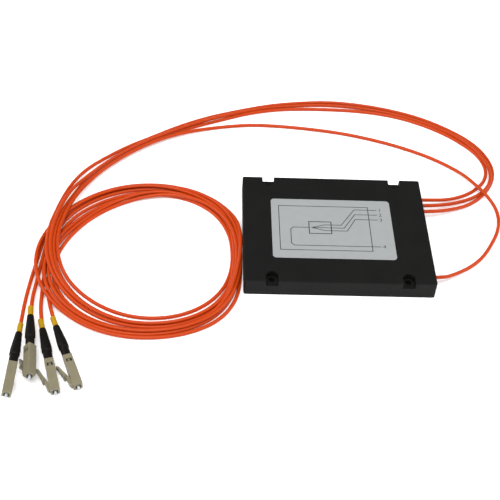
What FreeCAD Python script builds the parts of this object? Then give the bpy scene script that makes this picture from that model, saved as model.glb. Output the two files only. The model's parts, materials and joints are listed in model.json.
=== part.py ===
# Fibre optic splitter: a flat black module with one input and three output pigtails.
# Millimetres, +Z up. The origin is the bottom centre of the box, which lies on the floor.
# The input and the outputs leave the right wall, sweep round behind the box, make two
# turns in a coil beside its left wall and end in small push-pull connectors.

import FreeCAD, Part
import math
import os
import Sketcher
from FreeCAD import Placement, Rotation, Vector

doc = FreeCAD.newDocument("FibreSplitter")

# Driving dimensions: alias, value, what it is. A value that follows from others is a formula.
DIMENSIONS = [
    ("box_length", 100.0, "box, along X"),
    ("box_width", 80.0, "box, along Y"),
    ("box_height", 10.0, "box, along Z"),
    ("base_thick", 3.0, "rim of the base, up to the seam"),
    ("base_floor", 1.5, "floor of the base inside its rim"),
    ("rim_wide_x", 4.2, "rim of the base beside the short walls"),
    ("rim_wide_y", 8.2, "rim of the base beside the long walls, under the bosses"),
    ("wall_thick", 2.0, "side walls of the cover"),
    ("roof_thick", 2.0, "roof of the cover"),
    ("corner_radius", 1.2, "upright corners of the box"),
    ("rim_radius", 0.4, "rounding along the top edge"),
    ("hole_inset_x", 14.5, "mounting holes, in from the short sides"),
    ("hole_inset_y", 4.5, "mounting holes, in from the long sides"),
    ("hole_spacing_x", "=box_length - 2 * hole_inset_x", "holes, centre to centre along X"),
    ("hole_spacing_y", "=box_width - 2 * hole_inset_y", "holes, centre to centre along Y"),
    ("hole_radius", 1.6, "mounting holes"),
    ("notch_width", 6.4, "screw head notch, along X"),
    ("notch_reach", 5.5, "screw head notch, in from the long side"),
    ("notch_deep", 3.5, "screw head notch, down from the roof"),
    ("head_radius", 2.7, "round end of the notch, about the hole"),
    ("boss_wall", 1.5, "wall of the boss round a notch"),
    ("rib_height", 1.2, "locating ribs of the base"),
    ("rib_thick", 1.1, "locating ribs of the base"),
    ("rib_boss_gap", 2.8, "end of a long rib to the boss"),
    ("rib_row_gap", 5.55, "end of a short rib to the nearest anchor"),
    ("fit_gap", 0.1, "loose fit between fixed pieces"),
    ("label_length", 65.5, "label, along X"),
    ("label_width", 45.0, "label, along Y"),
    ("label_thick", 0.12, "label"),
    ("label_shift_x", -1.9, "label centre from the box centre"),
    ("label_shift_y", -0.5, "label centre from the box centre"),
    ("label_corner", 2.0, "label corners"),
    ("cord_radius", 1.0, "jacketed fibre cord"),
    ("cord_rise", 2.0, "cord holes, above the base"),
    ("cord_level", "=base_thick + cord_rise", "height at which the cords leave the box"),
    ("cord_straight", 10.0, "cord outside the wall before its first bend"),
    ("input_inset", 9.8, "input's hole, in from the front side"),
    ("output_inset", 10.6, "first output's hole, in from the rear side"),
    ("output_pitch", 4.8, "output hole to output hole"),
    ("row_input", "=input_inset - box_width / 2", "input's hole, along Y"),
    ("row_output_1", "=box_width / 2 - output_inset", "first output's hole, along Y"),
    ("row_output_2", "=row_output_1 - output_pitch", "second output's hole, along Y"),
    ("row_output_3", "=row_output_2 - output_pitch", "third output's hole, along Y"),
    ("buffer_radius", 0.45, "buffered fibre inside the box"),
    ("anchor_radius", 1.25, "crimped anchor inside the wall"),
    ("anchor_length", 6.0, "crimped anchor"),
    ("anchor_grip", 4.0, "length of jacket held in an anchor"),
    ("rib_long", "=hole_spacing_x - notch_width - 2 * (boss_wall + rib_boss_gap)", "long rib"),
    ("rib_short", "=2 * (row_output_3 - anchor_radius - rib_row_gap)", "short rib"),
    ("coupler_radius", 1.8, "fused coupler tube"),
    ("coupler_wall", 0.25, "fused coupler tube"),
    ("coupler_length", 40.0, "fused coupler tube"),
    ("coupler_spread", "=2 * buffer_radius + fit_gap / 2", "fibre to fibre in the coupler"),
    ("coupler_place_y", -12.0, "axis of the coupler"),
    ("pad_length", 32.0, "foam pad under the coupler"),
    ("pad_width", 6.0, "foam pad under the coupler"),
    ("pad_thick", 0.4, "foam pad under the coupler"),
    ("coupler_level", "=base_floor + pad_thick + coupler_radius", "axis of the coupler"),
    ("housing_side", 4.5, "plug housing, square"),
    ("housing_length", 19.2, "plug housing"),
    ("housing_edge", 0.3, "rounding along the housing"),
    ("housing_chamfer", 0.7, "front edges of the housing"),
    ("nose_bore_radius", 1.45, "bore round the ferrule"),
    ("nose_bore_length", 7.5, "bore round the ferrule"),
    ("chamber_radius", 1.8, "chamber behind the bore"),
    ("window_near", 14.5, "side window, from the front face"),
    ("window_far", 16.5, "side window, from the front face"),
    ("window_half", 1.4, "side window, half its height"),
    ("catch_half", 0.5, "catch in the window, half its height"),
    ("catch_sink", 0.2, "catch below the outside of the housing"),
    ("catch_groove", 1.2, "rear body beside its catches, radius"),
    ("ferrule_radius", 0.625, "ceramic ferrule"),
    ("ferrule_proud", 1.6, "ferrule in front of the housing"),
    ("ferrule_back", 9.0, "rear end of the ferrule"),
    ("ferrule_tip", 0.18, "chamfer at the tip"),
    ("flange_radius", 1.7, "ferrule holder"),
    ("flange_thick", 2.0, "ferrule holder"),
    ("spigot_radius", 0.9, "tail of the ferrule holder"),
    ("spigot_length", 3.5, "tail of the ferrule holder"),
    ("spring_radius", 1.45, "spring, outside"),
    ("spring_inner", 1.05, "spring, inside"),
    ("spring_length", 4.0, "spring"),
    ("body_bore", 1.0, "front bore of the rear body"),
    ("body_bore_length", 1.0, "front bore of the rear body"),
    ("fibre_bore", 0.55, "fibre passage"),
    ("barrel_radius", 1.4, "knurled barrel of the rear body"),
    ("barrel_end", 26.5, "rear end of the barrel, from the front face"),
    ("crimp_wall", 0.2, "crimp ring"),
    ("crimp_end", 31.5, "rear end of the crimp ring"),
    ("crimp_lip", 0.6, "crimp ring in front of the barrel's end"),
    ("boot_end", 39.5, "rear end of the boot"),
    ("boot_step", 24.6, "step where the boot narrows to its neck"),
    ("boot_neck_radius", 2.2, "boot beside the housing"),
    ("boot_wide_radius", 2.55, "boot at the step"),
    ("boot_tail_radius", 1.7, "boot at the cord"),
    ("sleeve_length", 6.0, "coloured identification sleeve"),
    ("sleeve_wall", 0.35, "coloured identification sleeve"),
    ("cord_stop", 27.5, "end of the cord inside the plug"),
    ("latch_width", 2.6, "lever of the latch"),
    ("latch_root", 1.2, "front of the lever's fixed root, from the front face"),
    ("latch_bend", 5.3, "where the lever leaves its root, from the front face"),
    ("latch_thick", 1.65, "root of the lever, above the housing"),
    ("latch_gap", 0.05, "lever to its root and to the housing"),
    ("latch_free", 14.7, "free end of the lever, from the front face"),
    ("latch_rise", 6.35, "outside of the lever before its hook, from the plug's axis"),
    ("latch_tip", 0.85, "thickness of the lever before its hook"),
    ("hook_height", 0.55, "thumb hook at the free end"),
    ("hook_length", 1.5, "thumb hook at the free end"),
    ("lug_near", 7.0, "locking lugs, from the front face"),
    ("lug_far", 8.8, "locking lugs, from the front face"),
    ("lug_width", 4.3, "across both locking lugs"),
    ("lug_low", 3.9, "underside of the lugs, from the plug's axis"),
    ("lug_high", 5.1, "top of the lugs, from the plug's axis"),
    ("coil_height", 5.4, "coil, floor to top"),
    ("coil_gap", 0.4, "coil to the box wall"),
]

sheet = doc.addObject("Spreadsheet::Sheet", "Dimensions")
for row, (alias, value, words) in enumerate(DIMENSIONS, start=1):
    sheet.set("A%d" % row, words)
    sheet.set("B%d" % row, str(value))
    sheet.setAlias("B%d" % row, alias)
doc.recompute()


def size(alias):
    """A driving dimension as a number, for the swept shapes."""
    return float(getattr(sheet, alias))


def bind(thing, prop, formula):
    """Ties a property to the sheet. Words in the formula are aliases."""
    text = formula
    for alias in sorted((entry[0] for entry in DIMENSIONS), key=len, reverse=True):
        text = text.replace("@" + alias, "Dimensions." + alias)
    thing.setExpression(prop, text)


def plane(body, role):
    return next(item for item in body.Origin.OriginFeatures if item.Role == role)


def new_body(label):
    body = doc.addObject("PartDesign::Body", label)
    body.Label = label
    return body


def new_sketch(body, name, role="XY_Plane", offset=None):
    """A sketch on one of the body's own origin planes, moved along its normal by offset."""
    sketch = body.newObject("Sketcher::SketchObject", name)
    sketch.AttachmentSupport = [(plane(body, role), "")]
    sketch.MapMode = "FlatFace"
    if offset:
        bind(sketch, "AttachmentOffset.Base.z", offset)
    return sketch


def hold(sketch, kind, geometry, vertex, formula):
    """Holds a vertex at a signed distance from the sketch's origin."""
    number = sketch.addConstraint(Sketcher.Constraint(kind, -1, 1, geometry, vertex, 1.0))
    bind(sketch, "Constraints[%d]" % number, formula)


def polygon(sketch, corners):
    """A closed outline. Each corner is a pair of formulas."""
    first = sketch.GeometryCount
    count = len(corners)
    for step in range(count):
        start_angle = 2 * math.pi * step / count
        end_angle = 2 * math.pi * (step + 1) / count
        start = Vector(math.cos(start_angle), math.sin(start_angle), 0)
        end = Vector(math.cos(end_angle), math.sin(end_angle), 0)
        sketch.addGeometry(Part.LineSegment(start, end))
    for step in range(count):
        after = first + (step + 1) % count
        sketch.addConstraint(Sketcher.Constraint("Coincident", first + step, 2, after, 1))
    for step, (across, up) in enumerate(corners):
        hold(sketch, "DistanceX", first + step, 1, across)
        hold(sketch, "DistanceY", first + step, 1, up)


def rectangle(sketch, left, right, low, high):
    polygon(sketch, [(left, low), (right, low), (right, high), (left, high)])


def circle(sketch, across, up, radius):
    number = sketch.addGeometry(Part.Circle(Vector(0, 0, 0), Vector(0, 0, 1), 1.0))
    hold(sketch, "DistanceX", number, 3, across)
    hold(sketch, "DistanceY", number, 3, up)
    held = sketch.addConstraint(Sketcher.Constraint("Radius", number, 1.0))
    bind(sketch, "Constraints[%d]" % held, radius)


def pad(body, sketch, length, midplane=False, reverse=False):
    feature = body.newObject("PartDesign::Pad", "Pad")
    feature.Profile = sketch
    feature.Midplane = midplane
    feature.Reversed = reverse
    bind(feature, "Length", length)
    return feature


def pocket(body, sketch, length, midplane=False, reverse=False):
    """Cuts, and makes sure that something was cut."""
    doc.recompute()
    before = body.Shape.Volume
    feature = body.newObject("PartDesign::Pocket", "Pocket")
    feature.Profile = sketch
    feature.Midplane = midplane
    feature.Reversed = reverse
    bind(feature, "Length", length)
    doc.recompute()
    if body.Shape.Volume > before - 0.01:
        raise ValueError("nothing was cut from " + body.Label)
    return feature


def edges_where(shape, test):
    return ["Edge%d" % (number + 1) for number, edge in enumerate(shape.Edges) if test(edge)]


def dress(body, kind, name, test, prop, formula):
    """A fillet or chamfer along the edges of the body that pass the test."""
    doc.recompute()
    base = body.Tip
    chosen = edges_where(body.Shape, test)
    feature = body.newObject("PartDesign::" + kind, name)
    feature.Base = (base, chosen)
    bind(feature, prop, formula)
    doc.recompute()
    return feature


def upright(edge):
    ends = [vertex.Point for vertex in edge.Vertexes]
    return len(ends) == 2 and (ends[0] - ends[1]).cross(Vector(0, 0, 1)).Length < 1e-6


def turned(label, outline, place=None):
    """A round piece: an outline of (along X, radius) corners turned about the X axis."""
    body = new_body(label)
    sketch = new_sketch(body, "Outline", "XZ_Plane")
    polygon(sketch, outline)
    feature = body.newObject("PartDesign::Revolution", "Turn")
    feature.Profile = sketch
    feature.ReferenceAxis = (plane(body, "X_Axis"), [""])
    feature.Angle = 360
    if place:
        body.Placement = place
    return body


def ring_outline(front, back, inner, outer):
    return [(back, inner), (front, inner), (front, outer), (back, outer)]


NODES = []
SIGNS = (-1, 1)
CORDS = ("input", "output_1", "output_2", "output_3")


def signed(sign, formula):
    return formula if sign > 0 else "-(" + formula + ")"


# The box

def hole_place(sign_x, sign_y):
    return (signed(sign_x, "@hole_spacing_x / 2"), signed(sign_y, "@hole_spacing_y / 2"))


def screw_holes(body, length, offset):
    sketch = new_sketch(body, "ScrewHoles", offset=offset)
    for sign_x in SIGNS:
        for sign_y in SIGNS:
            circle(sketch, *hole_place(sign_x, sign_y), "@hole_radius")
    pocket(body, sketch, length, reverse=True)


def make_cover():
    """Roof and walls, with four bosses that carry the screw head notches."""
    body = new_body("box_cover")
    outline = new_sketch(body, "Outline", offset="@base_thick")
    rectangle(outline, "-@box_length / 2", "@box_length / 2", "-@box_width / 2", "@box_width / 2")
    pad(body, outline, "@box_height - @base_thick")
    dress(body, "Fillet", "Corners", upright, "Radius", "@corner_radius")
    top = size("box_height") - 1e-6
    dress(body, "Fillet", "Rim", lambda edge: edge.BoundBox.ZMin > top, "Radius", "@rim_radius")
    cavity = new_sketch(body, "Cavity", offset="@base_thick")
    half_x = "(@box_length / 2 - @wall_thick)"
    half_y = "(@box_width / 2 - @wall_thick)"
    rectangle(cavity, "-" + half_x, half_x, "-" + half_y, half_y)
    pocket(body, cavity, "@box_height - @base_thick - @roof_thick", reverse=True)
    bosses = new_sketch(body, "Bosses", offset="@base_thick")
    for sign_x in SIGNS:
        for sign_y in SIGNS:
            middle, row = hole_place(sign_x, sign_y)
            near = "%s - (@notch_width / 2 + @boss_wall)" % middle
            far = "%s + (@notch_width / 2 + @boss_wall)" % middle
            inner = signed(sign_y, "@hole_spacing_y / 2 - @head_radius - @boss_wall")
            outer = signed(sign_y, "@box_width / 2 - @wall_thick / 2")
            rectangle(bosses, near, far, inner, outer)
    pad(body, bosses, "@box_height - @base_thick - @roof_thick / 2")
    notches = new_sketch(body, "Notches", offset="@box_height")
    for sign_x in SIGNS:
        for sign_y in SIGNS:
            middle, row = hole_place(sign_x, sign_y)
            near = "%s - @notch_width / 2" % middle
            far = "%s + @notch_width / 2" % middle
            inner = signed(sign_y, "@box_width / 2 - @notch_reach")
            outer = signed(sign_y, "@box_width / 2 + 1")
            rectangle(notches, near, far, inner, outer)
    pocket(body, notches, "@notch_deep")
    heads = new_sketch(body, "Heads", offset="@box_height")
    for sign_x in SIGNS:
        for sign_y in SIGNS:
            circle(heads, *hole_place(sign_x, sign_y), "@head_radius")
    pocket(body, heads, "@notch_deep")
    screw_holes(body, "@box_height", "@base_thick - 1")
    exits = new_sketch(body, "CordHoles", "YZ_Plane", "@box_length / 2 + 1")
    for name in CORDS:
        circle(exits, "@row_" + name, "@cord_level", "@cord_radius + @fit_gap")
    pocket(body, exits, "@wall_thick + 2")
    NODES.append(body)


def make_base():
    """Shallow tray that closes the box, with ribs on its rim that locate it inside the walls."""
    body = new_body("box_base")
    outline = new_sketch(body, "Outline")
    rectangle(outline, "-@box_length / 2", "@box_length / 2", "-@box_width / 2", "@box_width / 2")
    pad(body, outline, "@base_thick")
    dress(body, "Fillet", "Corners", upright, "Radius", "@corner_radius")
    tray = new_sketch(body, "Tray", offset="@base_thick")
    half_x = "(@box_length / 2 - @rim_wide_x)"
    half_y = "(@box_width / 2 - @rim_wide_y)"
    rectangle(tray, "-" + half_x, half_x, "-" + half_y, half_y)
    pocket(body, tray, "@base_thick - @base_floor")
    ribs = new_sketch(body, "Ribs", offset="@base_thick")
    for sign in SIGNS:
        outer = signed(sign, "@box_width / 2 - @wall_thick - @fit_gap")
        inner = signed(sign, "@box_width / 2 - @wall_thick - @fit_gap - @rib_thick")
        rectangle(ribs, "-@rib_long / 2", "@rib_long / 2", inner, outer)
        outer = signed(sign, "@box_length / 2 - @wall_thick - @fit_gap")
        inner = signed(sign, "@box_length / 2 - @wall_thick - @fit_gap - @rib_thick")
        rectangle(ribs, inner, outer, "-@rib_short / 2", "@rib_short / 2")
    pad(body, ribs, "@rib_height")
    screw_holes(body, "@base_thick + 2", "-1")
    NODES.append(body)


def make_label():
    body = new_body("label")
    outline = new_sketch(body, "Outline", offset="@box_height")
    rectangle(
        outline,
        "@label_shift_x - @label_length / 2", "@label_shift_x + @label_length / 2",
        "@label_shift_y - @label_width / 2", "@label_shift_y + @label_width / 2")
    pad(body, outline, "@label_thick")
    dress(body, "Fillet", "Corners", upright, "Radius", "@label_corner")
    NODES.append(body)


# Inside the box

def make_coupler():
    half = "@coupler_length / 2"
    tube = turned(
        "coupler_tube",
        ring_outline(half, "-" + half, "@coupler_radius - @coupler_wall", "@coupler_radius"))
    bind(tube, "Placement.Base.y", "@coupler_place_y")
    bind(tube, "Placement.Base.z", "@coupler_level")
    NODES.append(tube)
    pad_block = doc.addObject("Part::Box", "coupler_pad")
    pad_block.Label = "coupler_pad"
    bind(pad_block, "Length", "@pad_length")
    bind(pad_block, "Width", "@pad_width")
    bind(pad_block, "Height", "@pad_thick")
    bind(pad_block, "Placement.Base.x", "-@pad_length / 2")
    bind(pad_block, "Placement.Base.y", "@coupler_place_y - @pad_width / 2")
    bind(pad_block, "Placement.Base.z", "@base_floor")
    NODES.append(pad_block)


def make_anchor(name):
    """Crimped stop behind the wall: jacket in its wide bore, buffered fibre in its narrow one."""
    wide = "(@cord_radius + @fit_gap / 2)"
    narrow = "(@buffer_radius + @fit_gap / 2)"
    outline = [
        ("-@anchor_length", narrow), ("-@anchor_grip", narrow), ("-@anchor_grip", wide),
        ("0", wide), ("0", "@anchor_radius"), ("-@anchor_length", "@anchor_radius")]
    anchor = turned("anchor_" + name, outline)
    bind(anchor, "Placement.Base.x", "@box_length / 2 - @wall_thick")
    bind(anchor, "Placement.Base.y", "@row_" + name)
    bind(anchor, "Placement.Base.z", "@cord_level")
    NODES.append(anchor)


# Swept pieces

def rounded_route(points, name):
    """Straight runs joined by tangent arcs, each as large as its two runs allow."""
    edges = []
    last = points[0]
    radii = []
    for before, corner, after in zip(points, points[1:], points[2:]):
        back = before - corner
        ahead = after - corner
        reach = 0.45 * min(back.Length, ahead.Length)
        half_turn = (math.pi - back.getAngle(ahead)) / 2
        radius = reach / math.tan(half_turn)
        radii.append(radius)
        start = corner + back.normalize() * reach
        end = corner + ahead.normalize() * reach
        inward = (back + ahead).normalize()
        middle = corner + inward * (radius / math.cos(half_turn) - radius)
        edges.append(Part.LineSegment(last, start).toShape())
        edges.append(Part.Arc(start, middle, end).toShape())
        last = end
    edges.append(Part.LineSegment(last, points[-1]).toShape())
    print(name, "radii", " ".join("%.0f" % radius for radius in radii))
    return Part.Wire(edges)


def make_tube(label, points, radius):
    """A plain round tube along a rounded route."""
    path = rounded_route(points, label)
    start = path.Edges[0].tangentAt(path.Edges[0].FirstParameter)
    profile = Part.Wire([Part.Circle(points[0], start, radius).toShape()])
    solid = path.makePipeShell([profile], True, True)
    expected = math.pi * radius ** 2 * path.Length
    print(label, "length %.1f" % path.Length, "volume %.4f of expected" % (solid.Volume / expected))
    if abs(solid.Volume / expected - 1) > 0.01:
        raise ValueError(label + " has the wrong volume")
    piece = doc.addObject("Part::Feature", label)
    piece.Label = label
    piece.Shape = solid
    NODES.append(piece)
    return piece


def points_of(rows):
    return [Vector(*row) for row in rows]


# Each sweep from its first bend round behind the box to the coil, chosen by hand from the photograph
SWEEPS = {
    "input": [
        (75.5, -22.5, 1.8), (87.8, -8.0, 1.0), (94.0, 8.0, 1.0),
        (96.3, 25.0, 1.4), (94.2, 35.8, 3.7), (87.0, 46.6, 3.7), (77.5, 58.5, 1.4),
        (63.5, 70.5, 1.0), (44.0, 81.5, 1.0), (19.0, 90.3, 1.0), (-8.0, 95.8, 1.0),
        (-36.0, 97.7, 1.0), (-62.0, 95.6, 1.0), (-85.5, 88.0, 1.0), (-105.0, 74.6, 1.0),
        (-120.3, 60.5, 1.2), (-131.3, 45.5, 2.6), (-139.3, 30.5, 4.2), (-145.0, 14.5, 5.1)],
    "output_1": [
        (76.0, 35.2, 1.4), (89.5, 45.5, 1.0), (95.3, 61.5, 1.0),
        (92.5, 78.5, 1.0), (80.5, 94.0, 1.0), (63.0, 105.5, 1.0), (41.0, 112.8, 1.0),
        (15.0, 116.3, 1.0), (-13.0, 115.3, 1.0), (-41.0, 110.3, 1.0), (-68.0, 100.3, 1.0),
        (-93.0, 86.5, 1.0), (-115.0, 70.5, 1.0), (-131.2, 53.0, 2.0), (-141.5, 33.0, 4.2),
        (-147.0, 15.5, 5.1)],
    "output_2": [
        (77.0, 30.6, 1.4), (91.5, 41.0, 1.0), (97.6, 57.5, 1.0),
        (96.0, 76.0, 1.0), (84.5, 93.5, 1.0), (66.5, 107.0, 1.0), (43.5, 116.0, 1.0),
        (16.0, 120.6, 1.0), (-13.5, 119.0, 1.0), (-42.5, 113.0, 1.0), (-70.0, 102.6, 1.0),
        (-95.3, 88.6, 1.0), (-117.5, 72.3, 1.0), (-134.0, 53.8, 2.0), (-143.8, 33.3, 4.2),
        (-149.1, 15.9, 5.1)],
    "output_3": [
        (77.5, 25.8, 1.4), (93.0, 37.5, 1.0), (99.8, 56.2, 1.0),
        (98.3, 77.3, 1.0), (86.5, 95.3, 1.0), (68.2, 109.2, 1.0), (44.6, 118.4, 1.0),
        (16.5, 123.2, 1.0), (-13.8, 121.6, 1.0), (-43.6, 115.4, 1.0), (-71.5, 104.9, 1.0),
        (-97.0, 90.8, 1.0), (-120.0, 75.0, 1.0), (-139.5, 55.5, 1.6), (-147.0, 36.0, 3.6),
        (-151.3, 17.3, 5.1)],
}

# Middle of each plug's front face, then its heading, nose-up and roll in degrees
PLUGS = {
    "input": ((-160.1, -112.8, 8.2), -90.1, 4.4, 165.0),
    "output_1": ((-151.2, -100.9, 6.8), -83.1, 3.3, 135.0),
    "output_2": ((-138.8, -106.6, 2.6), -74.4, 0.0, 90.0),
    "output_3": ((-128.4, -103.4, 2.6), -68.3, 0.0, 90.0),
}

# Each tail from under the coil to the straight stretch behind its plug
TAILS = {
    "input": [(-156.9, -19.5, 1.0), (-159.6, -35.6, 1.6), (-160.3, -51.5, 3.0)],
    "output_1": [(-154.6, -18.8, 1.0), (-156.4, -37.0, 1.9)],
    "output_2": [(-152.7, -24.0, 1.0), (-152.9, -42.5, 1.6)],
    "output_3": [(-150.4, -26.5, 1.0), (-150.0, -43.0, 1.6)],
}


def anchor_bottom():
    """Where an anchor's wide bore meets its narrow one, along X."""
    return size("box_length") / 2 - size("wall_thick") - size("anchor_grip")


def wall_points(name):
    """From the bottom of the anchor's wide bore straight out to the first bend."""
    row = size("row_" + name)
    level = size("cord_level")
    bend = size("box_length") / 2 + size("cord_straight")
    return [Vector(anchor_bottom(), row, level), Vector(bend, row, level)]


def make_sweeps():
    for name, rows in SWEEPS.items():
        make_tube("cord_%s_sweep" % name, wall_points(name) + points_of(rows), size("cord_radius"))


def input_buffer_rows():
    """Once round the box, low, and into the coupler's right end."""
    side = size("box_length") / 2
    row = size("row_input")
    far = size("row_output_1") + 0.6
    level = size("cord_level")
    low = size("base_floor") + size("buffer_radius") + 0.05
    middle = size("coupler_place_y")
    axis = size("coupler_level")
    inside = size("coupler_length") / 2 - 3
    return [
        (anchor_bottom(), row, level), (side - 22, row, level), (2, row - 0.8, low + 0.2),
        (-side + 22.5, row + 0.1, low), (-side + 4.8, row + 17.7, low),
        (-side + 5, far - 17.5, low), (-side + 22.5, far, low), (5, far + 0.3, low),
        (side - 21.3, far, low), (side - 9, far - 12.2, low + 0.1),
        (side - 9.2, middle + 12.3, low + 0.8), (side - 21.3, middle, axis), (inside, middle, axis)]


def output_buffer_rows(number):
    """Along the rear of the box, round its left end and into the coupler's left end."""
    side = size("box_length") / 2
    row = size("row_output_%d" % number)
    level = size("cord_level")
    axis = size("coupler_level")
    turn = -side + 3.4 + 2.9 * number
    bend = 14.1 - 1.7 * number
    aim = size("coupler_place_y") + size("coupler_spread") * (number - 2)
    inside = 3 - size("coupler_length") / 2
    return [
        (anchor_bottom(), row, level), (side - 26, row, level), (-6, row + 1.1, level + 0.1),
        (turn + bend, row, axis), (turn, row - bend, axis), (turn + 0.2, aim + bend, axis),
        (turn + bend, aim, axis), (inside, aim, axis)]


def make_buffers():
    make_tube("buffer_input", points_of(input_buffer_rows()), size("buffer_radius"))
    for number in (1, 2, 3):
        rows = output_buffer_rows(number)
        make_tube("buffer_output_%d" % number, points_of(rows), size("buffer_radius"))


def plug_place(name):
    """Plug frame: X along the plug towards its front face, Z towards its latch."""
    front, heading, nose_up, roll = PLUGS[name]
    turn = Rotation(Vector(0, 0, 1), heading)
    tilt = Rotation(Vector(0, 1, 0), -nose_up)
    spin = Rotation(Vector(1, 0, 0), roll)
    return Placement(Vector(*front), turn * tilt * spin)


def make_tails():
    for name, rows in TAILS.items():
        place = plug_place(name)
        behind = size("boot_end") + size("sleeve_length") + 2.0
        straight = place.multVec(Vector(-behind, 0, 0))
        end = place.multVec(Vector(-size("cord_stop"), 0, 0))
        make_tube("cord_%s_tail" % name, points_of(rows) + [straight, end], size("cord_radius"))


# The coil, as one plain ring with the outside of the laid turns
COIL_OUTER = ((-99.8, -15.3), 59.8, 56.8)
COIL_INNER = ((-101.5, -13.8), 43.5, 43.5)


def oval_face(middle, reach_x, reach_y):
    centre = Vector(middle[0], middle[1], 0)
    if reach_x > reach_y:
        curve = Part.Ellipse(centre, reach_x, reach_y)
    else:
        curve = Part.Circle(centre, Vector(0, 0, 1), reach_x)
    return Part.Face(Part.Wire([curve.toShape()]))


def make_coil():
    up = Vector(0, 0, size("coil_height"))
    ring = oval_face(*COIL_OUTER).extrude(up).cut(oval_face(*COIL_INNER).extrude(up))
    limit = -size("box_length") / 2 - size("coil_gap")
    middle, reach_x, reach_y = COIL_OUTER
    corner = Vector(limit, middle[1] - reach_y - 1, -1)
    beyond = Part.makeBox(reach_x, 2 * reach_y + 2, size("coil_height") + 2, corner)
    piece = doc.addObject("Part::Feature", "cord_coil")
    piece.Label = "cord_coil"
    piece.Shape = ring.cut(beyond)
    NODES.append(piece)


# The plug

def make_housing(name, place):
    """Square shell: chamfered nose, stepped bore, a window in two sides and the latch's root."""
    body = new_body("housing_" + name)
    outline = new_sketch(body, "Outline", "YZ_Plane")
    half = "@housing_side / 2"
    rectangle(outline, "-" + half, half, "-" + half, half)
    pad(body, outline, "@housing_length", reverse=True)
    dress(
        body, "Chamfer", "Nose", lambda edge: edge.BoundBox.XMin > -1e-6,
        "Size", "@housing_chamfer")
    bore = new_sketch(body, "Bore", "YZ_Plane")
    circle(bore, "0", "0", "@nose_bore_radius")
    pocket(body, bore, "@nose_bore_length")
    chamber = new_sketch(body, "Chamber", "YZ_Plane", "-@nose_bore_length")
    circle(chamber, "0", "0", "@chamber_radius")
    pocket(body, chamber, "@housing_length - @nose_bore_length")
    windows = new_sketch(body, "Windows", "XZ_Plane")
    rectangle(windows, "-@window_far", "-@window_near", "-@window_half", "@window_half")
    pocket(body, windows, "@housing_side + 2", midplane=True)
    corner = size("housing_side") / 2 * math.sqrt(2) - 0.01
    dress(
        body, "Fillet", "Edges",
        lambda edge: edge.BoundBox.XLength > 1 and math.hypot(*edge.CenterOfMass[1:]) > corner,
        "Radius", "@housing_edge")
    root = new_sketch(body, "LatchRoot", "XZ_Plane")
    inside = half + " - @housing_edge"
    root_top = half + " + @latch_thick"
    root_back = "-@latch_bend + @latch_gap"
    polygon(root, [
        ("-@latch_root", inside), ("-@latch_root", half + " + @latch_thick * 0.45"),
        ("-@latch_root - @latch_thick * 0.7", half + " + @latch_thick * 0.75"),
        (root_back, root_top), (root_back, inside)])
    pad(body, root, "@latch_width", midplane=True)
    body.Placement = place
    NODES.append(body)


def make_latch(name, place):
    """Springy lever: from the housing's root to a thumb hook, with a step and two locking lugs."""
    body = new_body("latch_" + name)
    profile = new_sketch(body, "Profile", "XZ_Plane")
    low = "(@housing_side / 2 + @latch_gap)"
    root_top = "(@housing_side / 2 + @latch_thick)"
    hook_start = "-(@latch_free - @hook_length)"
    polygon(profile, [
        ("-@latch_bend", low),
        ("-@latch_bend", root_top),
        ("-@lug_near", root_top + " + 0.3"),
        ("-@lug_near - 0.4", "@lug_high"),
        (hook_start, "@latch_rise"),
        ("-@latch_free + 0.3", "@latch_rise + @hook_height"),
        ("-@latch_free", "@latch_rise + @hook_height / 2"),
        ("-@latch_free + 0.5", "@latch_rise - @latch_tip + 0.1"),
        (hook_start + " + 1", "@latch_rise - @latch_tip - 0.6"),
        ("-@lug_near - 0.5", low + " + 0.85")])
    pad(body, profile, "@latch_width", midplane=True)
    lugs = new_sketch(body, "Lugs", "XZ_Plane")
    rectangle(lugs, "-@lug_far", "-@lug_near", "@lug_low", "@lug_high")
    pad(body, lugs, "@lug_width", midplane=True)
    body.Placement = place
    NODES.append(body)


def make_ferrule(name, place):
    """Ceramic pin with a chamfered tip, and the flanged holder that the spring pushes."""
    tip = "@ferrule_proud"
    pin = [
        ("-@ferrule_back", "0"), (tip, "0"), (tip, "@ferrule_radius - @ferrule_tip"),
        (tip + " - @ferrule_tip", "@ferrule_radius"), ("-@ferrule_back", "@ferrule_radius")]
    NODES.append(turned("ferrule_" + name, pin, place))
    bore = "(@ferrule_radius + @fit_gap / 4)"
    front = "-@nose_bore_length"
    back = "(-@nose_bore_length - @flange_thick)"
    holder = [
        ("-@ferrule_back", bore), (front, bore), (front, "@flange_radius"),
        (back, "@flange_radius"), (back, "@spigot_radius"),
        (back + " - @spigot_length", "@spigot_radius"),
        (back + " - @spigot_length", "@fibre_bore"), ("-@ferrule_back", "@fibre_bore")]
    NODES.append(turned("holder_" + name, holder, place))


def make_spring(name, place):
    """Space that the small compression spring fills round the holder's tail."""
    front = "-@nose_bore_length - @flange_thick"
    outline = ring_outline(front, front + " - @spring_length", "@spring_inner", "@spring_radius")
    NODES.append(turned("spring_" + name, outline, place))


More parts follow.
